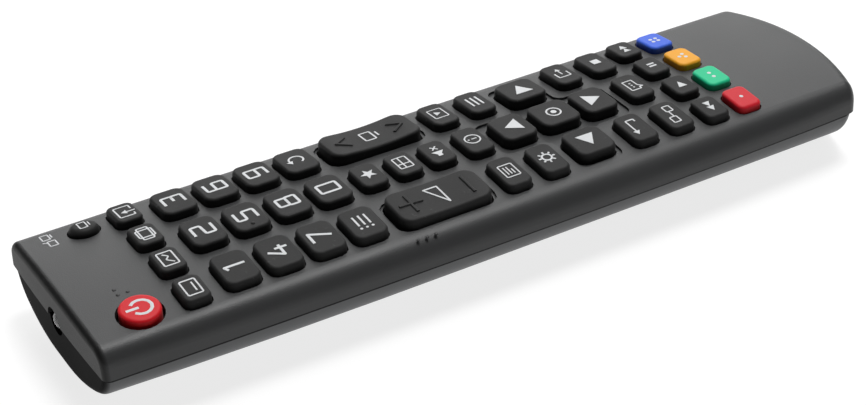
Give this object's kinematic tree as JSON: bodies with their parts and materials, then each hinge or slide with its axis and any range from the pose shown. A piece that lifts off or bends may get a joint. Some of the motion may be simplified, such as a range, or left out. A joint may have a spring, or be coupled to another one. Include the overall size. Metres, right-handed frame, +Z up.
{
  "type": "remote control",
  "caption": "Slim handheld infra-red remote control with a crowned keypad, rocker and arrow keys, coloured function keys, an emitter in the front edge and a sliding battery cover.",
  "frame": {"origin": "centre of the case at the surface it rests on", "axes": "+X across the keypad to the right, +Y along the case to the infra-red end, +Z up through the keys"},
  "size_m": [0.0468, 0.172, 0.0191],
  "materials": {
    "upper_case": "fine matt texture",
    "lower_case": "fine satin texture",
    "key_black": "soft matt",
    "key_power": "soft matt",
    "key_red": "soft matt",
    "key_green": "soft matt",
    "key_yellow": "soft matt",
    "key_blue": "soft matt",
    "keypad_mat": "matt silicone",
    "circuit_board": "solder resist",
    "clear_emitter": "clear resin",
    "cell_can": "plain satin sleeve",
    "contact_steel": "nickel plated",
    "chip_black": "moulded",
    "capacitor_sleeve": "shrunk sleeve",
    "resonator_coating": "dipped coating"
  },
  "bodies": {
    "case": {"battery_bridge": "contact_steel", "battery_left": "cell_can", "battery_right": "cell_can", "battery_terminal_negative": "contact_steel", "battery_terminal_positive": "contact_steel", "circuit_board": "circuit_board", "controller_chip": "chip_black", "filter_capacitor": "capacitor_sleeve", "infrared_led": "clear_emitter", "keypad_mat": "keypad_mat", "lower_case": "lower_case", "resonator": "resonator_coating", "upper_case": "upper_case"},
    "battery_cover": {"battery_cover": "lower_case"},
    "rocker_volume": {"rocker_volume": "key_black"},
    "rocker_channel": {"rocker_channel": "key_black"},
    "key_up": {"key_up": "key_black"},
    "key_down": {"key_down": "key_black"},
    "key_left": {"key_left": "key_black"},
    "key_right": {"key_right": "key_black"},
    "key_ok": {"key_ok": "key_black"},
    "key_power": {"key_power": "key_power"},
    "key_source": {"key_source": "key_black"},
    "key_1": {"key_1": "key_black"},
    "key_2": {"key_2": "key_black"},
    "key_3": {"key_3": "key_black"},
    "key_4": {"key_4": "key_black"},
    "key_5": {"key_5": "key_black"},
    "key_6": {"key_6": "key_black"},
    "key_7": {"key_7": "key_black"},
    "key_8": {"key_8": "key_black"},
    "key_9": {"key_9": "key_black"},
    "key_0": {"key_0": "key_black"},
    "key_red": {"key_red": "key_red"},
    "key_green": {"key_green": "key_green"},
    "key_yellow": {"key_yellow": "key_yellow"},
    "key_blue": {"key_blue": "key_blue"},
    "key_aspect": {"key_aspect": "key_black"},
    "key_back": {"key_back": "key_black"},
    "key_captions": {"key_captions": "key_black"},
    "key_channel_list": {"key_channel_list": "key_black"},
    "key_devices": {"key_devices": "key_black"},
    "key_exit": {"key_exit": "key_black"},
    "key_favourites": {"key_favourites": "key_black"},
    "key_forward": {"key_forward": "key_black"},
    "key_information": {"key_information": "key_black"},
    "key_inputs": {"key_inputs": "key_black"},
    "key_last_channel": {"key_last_channel": "key_black"},
    "key_menu": {"key_menu": "key_black"},
    "key_mute": {"key_mute": "key_black"},
    "key_narration": {"key_narration": "key_black"},
    "key_pause": {"key_pause": "key_black"},
    "key_picture_mode": {"key_picture_mode": "key_black"},
    "key_play": {"key_play": "key_black"},
    "key_programmes": {"key_programmes": "key_black"},
    "key_rewind": {"key_rewind": "key_black"},
    "key_settings": {"key_settings": "key_black"},
    "key_stop": {"key_stop": "key_black"},
    "key_teletext": {"key_teletext": "key_black"},
    "key_teletext_menu": {"key_teletext_menu": "key_black"}
  },
  "joints": [
    {"name": "battery_cover_slide", "type": "slide", "parent": "case", "child": "battery_cover", "axis": [0, -1, 0], "range_m": [0, 0.063]},
    {"name": "rocker_volume_tilt", "type": "hinge", "parent": "case", "child": "rocker_volume", "pos_m": [-0.0131, 0.01335, 0.0144], "axis": [1, 0, 0], "range_deg": [-3, 3], "stiffness_Nm_per_rad": 0.2},
    {"name": "rocker_channel_tilt", "type": "hinge", "parent": "case", "child": "rocker_channel", "pos_m": [0.0131, 0.01335, 0.0144], "axis": [1, 0, 0], "range_deg": [-3, 3], "stiffness_Nm_per_rad": 0.2},
    {"name": "key_up_press", "type": "slide", "parent": "case", "child": "key_up", "axis": [0, 0, -1], "range_m": [0, 0.0007], "stiffness_N_per_m": 1500},
    {"name": "key_down_press", "type": "slide", "parent": "case", "child": "key_down", "axis": [0, 0, -1], "range_m": [0, 0.0007], "stiffness_N_per_m": 1500},
    {"name": "key_left_press", "type": "slide", "parent": "case", "child": "key_left", "axis": [0, 0, -1], "range_m": [0, 0.0007], "stiffness_N_per_m": 1500},
    {"name": "key_right_press", "type": "slide", "parent": "case", "child": "key_right", "axis": [0, 0, -1], "range_m": [0, 0.0007], "stiffness_N_per_m": 1500},
    {"name": "key_ok_press", "type": "slide", "parent": "case", "child": "key_ok", "axis": [0, 0, -1], "range_m": [0, 0.0007], "stiffness_N_per_m": 1500},
    {"name": "key_power_press", "type": "slide", "parent": "case", "child": "key_power", "axis": [0, 0, -1], "range_m": [0, 0.0007], "stiffness_N_per_m": 1500},
    {"name": "key_source_press", "type": "slide", "parent": "case", "child": "key_source", "axis": [0, 0, -1], "range_m": [0, 0.0007], "stiffness_N_per_m": 1500},
    {"name": "key_1_press", "type": "slide", "parent": "case", "child": "key_1", "axis": [0, 0, -1], "range_m": [0, 0.0007], "stiffness_N_per_m": 1500},
    {"name": "key_2_press", "type": "slide", "parent": "case", "child": "key_2", "axis": [0, 0, -1], "range_m": [0, 0.0007], "stiffness_N_per_m": 1500},
    {"name": "key_3_press", "type": "slide", "parent": "case", "child": "key_3", "axis": [0, 0, -1], "range_m": [0, 0.0007], "stiffness_N_per_m": 1500},
    {"name": "key_4_press", "type": "slide", "parent": "case", "child": "key_4", "axis": [0, 0, -1], "range_m": [0, 0.0007], "stiffness_N_per_m": 1500},
    {"name": "key_5_press", "type": "slide", "parent": "case", "child": "key_5", "axis": [0, 0, -1], "range_m": [0, 0.0007], "stiffness_N_per_m": 1500},
    {"name": "key_6_press", "type": "slide", "parent": "case", "child": "key_6", "axis": [0, 0, -1], "range_m": [0, 0.0007], "stiffness_N_per_m": 1500},
    {"name": "key_7_press", "type": "slide", "parent": "case", "child": "key_7", "axis": [0, 0, -1], "range_m": [0, 0.0007], "stiffness_N_per_m": 1500},
    {"name": "key_8_press", "type": "slide", "parent": "case", "child": "key_8", "axis": [0, 0, -1], "range_m": [0, 0.0007], "stiffness_N_per_m": 1500},
    {"name": "key_9_press", "type": "slide", "parent": "case", "child": "key_9", "axis": [0, 0, -1], "range_m": [0, 0.0007], "stiffness_N_per_m": 1500},
    {"name": "key_0_press", "type": "slide", "parent": "case", "child": "key_0", "axis": [0, 0, -1], "range_m": [0, 0.0007], "stiffness_N_per_m": 1500},
    {"name": "key_red_press", "type": "slide", "parent": "case", "child": "key_red", "axis": [0, 0, -1], "range_m": [0, 0.0007], "stiffness_N_per_m": 1500},
    {"name": "key_green_press", "type": "slide", "parent": "case", "child": "key_green", "axis": [0, 0, -1], "range_m": [0, 0.0007], "stiffness_N_per_m": 1500},
    {"name": "key_yellow_press", "type": "slide", "parent": "case", "child": "key_yellow", "axis": [0, 0, -1], "range_m": [0, 0.0007], "stiffness_N_per_m": 1500},
    {"name": "key_blue_press", "type": "slide", "parent": "case", "child": "key_blue", "axis": [0, 0, -1], "range_m": [0, 0.0007], "stiffness_N_per_m": 1500},
    {"name": "key_aspect_press", "type": "slide", "parent": "case", "child": "key_aspect", "axis": [0, 0, -1], "range_m": [0, 0.0007], "stiffness_N_per_m": 1500},
    {"name": "key_back_press", "type": "slide", "parent": "case", "child": "key_back", "axis": [0, 0, -1], "range_m": [0, 0.0007], "stiffness_N_per_m": 1500},
    {"name": "key_captions_press", "type": "slide", "parent": "case", "child": "key_captions", "axis": [0, 0, -1], "range_m": [0, 0.0007], "stiffness_N_per_m": 1500},
    {"name": "key_channel_list_press", "type": "slide", "parent": "case", "child": "key_channel_list", "axis": [0, 0, -1], "range_m": [0, 0.0007], "stiffness_N_per_m": 1500},
    {"name": "key_devices_press", "type": "slide", "parent": "case", "child": "key_devices", "axis": [0, 0, -1], "range_m": [0, 0.0007], "stiffness_N_per_m": 1500},
    {"name": "key_exit_press", "type": "slide", "parent": "case", "child": "key_exit", "axis": [0, 0, -1], "range_m": [0, 0.0007], "stiffness_N_per_m": 1500},
    {"name": "key_favourites_press", "type": "slide", "parent": "case", "child": "key_favourites", "axis": [0, 0, -1], "range_m": [0, 0.0007], "stiffness_N_per_m": 1500},
    {"name": "key_forward_press", "type": "slide", "parent": "case", "child": "key_forward", "axis": [0, 0, -1], "range_m": [0, 0.0007], "stiffness_N_per_m": 1500},
    {"name": "key_information_press", "type": "slide", "parent": "case", "child": "key_information", "axis": [0, 0, -1], "range_m": [0, 0.0007], "stiffness_N_per_m": 1500},
    {"name": "key_inputs_press", "type": "slide", "parent": "case", "child": "key_inputs", "axis": [0, 0, -1], "range_m": [0, 0.0007], "stiffness_N_per_m": 1500},
    {"name": "key_last_channel_press", "type": "slide", "parent": "case", "child": "key_last_channel", "axis": [0, 0, -1], "range_m": [0, 0.0007], "stiffness_N_per_m": 1500},
    {"name": "key_menu_press", "type": "slide", "parent": "case", "child": "key_menu", "axis": [0, 0, -1], "range_m": [0, 0.0007], "stiffness_N_per_m": 1500},
    {"name": "key_mute_press", "type": "slide", "parent": "case", "child": "key_mute", "axis": [0, 0, -1], "range_m": [0, 0.0007], "stiffness_N_per_m": 1500},
    {"name": "key_narration_press", "type": "slide", "parent": "case", "child": "key_narration", "axis": [0, 0, -1], "range_m": [0, 0.0007], "stiffness_N_per_m": 1500},
    {"name": "key_pause_press", "type": "slide", "parent": "case", "child": "key_pause", "axis": [0, 0, -1], "range_m": [0, 0.0007], "stiffness_N_per_m": 1500},
    {"name": "key_picture_mode_press", "type": "slide", "parent": "case", "child": "key_picture_mode", "axis": [0, 0, -1], "range_m": [0, 0.0007], "stiffness_N_per_m": 1500},
    {"name": "key_play_press", "type": "slide", "parent": "case", "child": "key_play", "axis": [0, 0, -1], "range_m": [0, 0.0007], "stiffness_N_per_m": 1500},
    {"name": "key_programmes_press", "type": "slide", "parent": "case", "child": "key_programmes", "axis": [0, 0, -1], "range_m": [0, 0.0007], "stiffness_N_per_m": 1500},
    {"name": "key_rewind_press", "type": "slide", "parent": "case", "child": "key_rewind", "axis": [0, 0, -1], "range_m": [0, 0.0007], "stiffness_N_per_m": 1500},
    {"name": "key_settings_press", "type": "slide", "parent": "case", "child": "key_settings", "axis": [0, 0, -1], "range_m": [0, 0.0007], "stiffness_N_per_m": 1500},
    {"name": "key_stop_press", "type": "slide", "parent": "case", "child": "key_stop", "axis": [0, 0, -1], "range_m": [0, 0.0007], "stiffness_N_per_m": 1500},
    {"name": "key_teletext_press", "type": "slide", "parent": "case", "child": "key_teletext", "axis": [0, 0, -1], "range_m": [0, 0.0007], "stiffness_N_per_m": 1500},
    {"name": "key_teletext_menu_press", "type": "slide", "parent": "case", "child": "key_teletext_menu", "axis": [0, 0, -1], "range_m": [0, 0.0007], "stiffness_N_per_m": 1500}
  ]
}
